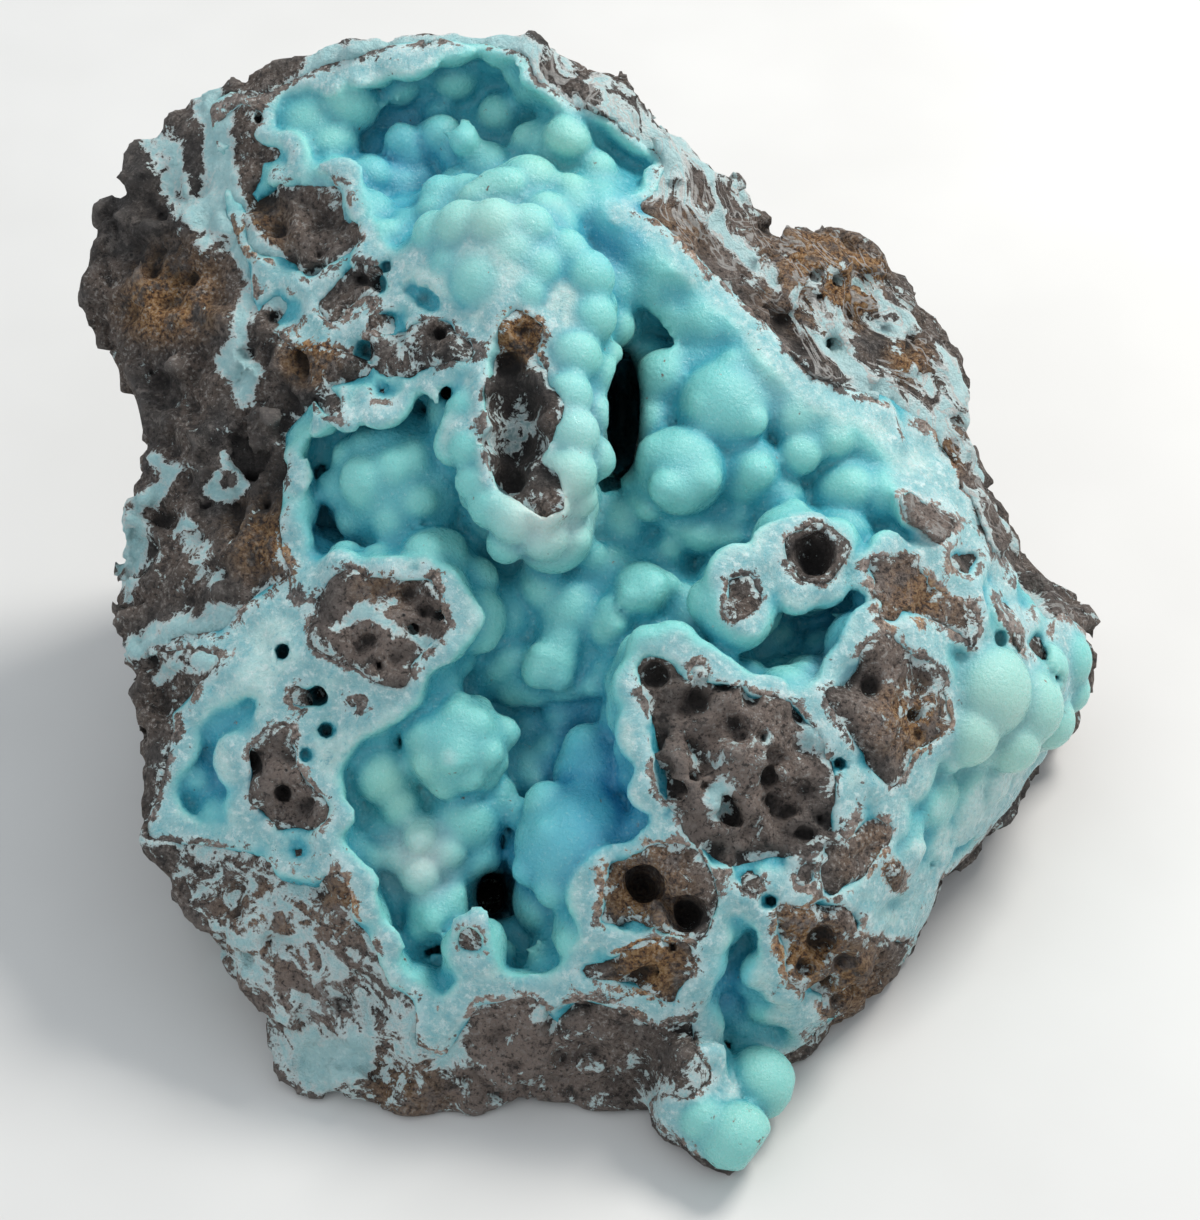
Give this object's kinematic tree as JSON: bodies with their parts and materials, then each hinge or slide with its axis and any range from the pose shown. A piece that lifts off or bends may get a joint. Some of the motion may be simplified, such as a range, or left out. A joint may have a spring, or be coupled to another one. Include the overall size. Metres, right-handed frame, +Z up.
{
  "type": "raw hemimorphite specimen",
  "caption": "Raw lump of brown limonite rock, broken open, its hollows lined with a blue-green botryoidal hemimorphite crust; rests on its flat underside",
  "frame": {"origin": "centre of the bounding box's underside, on the surface the lump stands on", "axes": "+X along the longest extent, to the right as seen facing the broken face; +Y to the back; +Z up, the shortest extent"},
  "size_m": [0.107, 0.0972, 0.073],
  "materials": {
    "matrix": "matte, rough broken limonite",
    "hemimorphite_crust": "translucent waxy botryoidal crust with a druse sparkle"
  },
  "bodies": {
    "root": {"matrix": "matrix", "hemimorphite_crust": "hemimorphite_crust"}
  },
  "joints": []
}
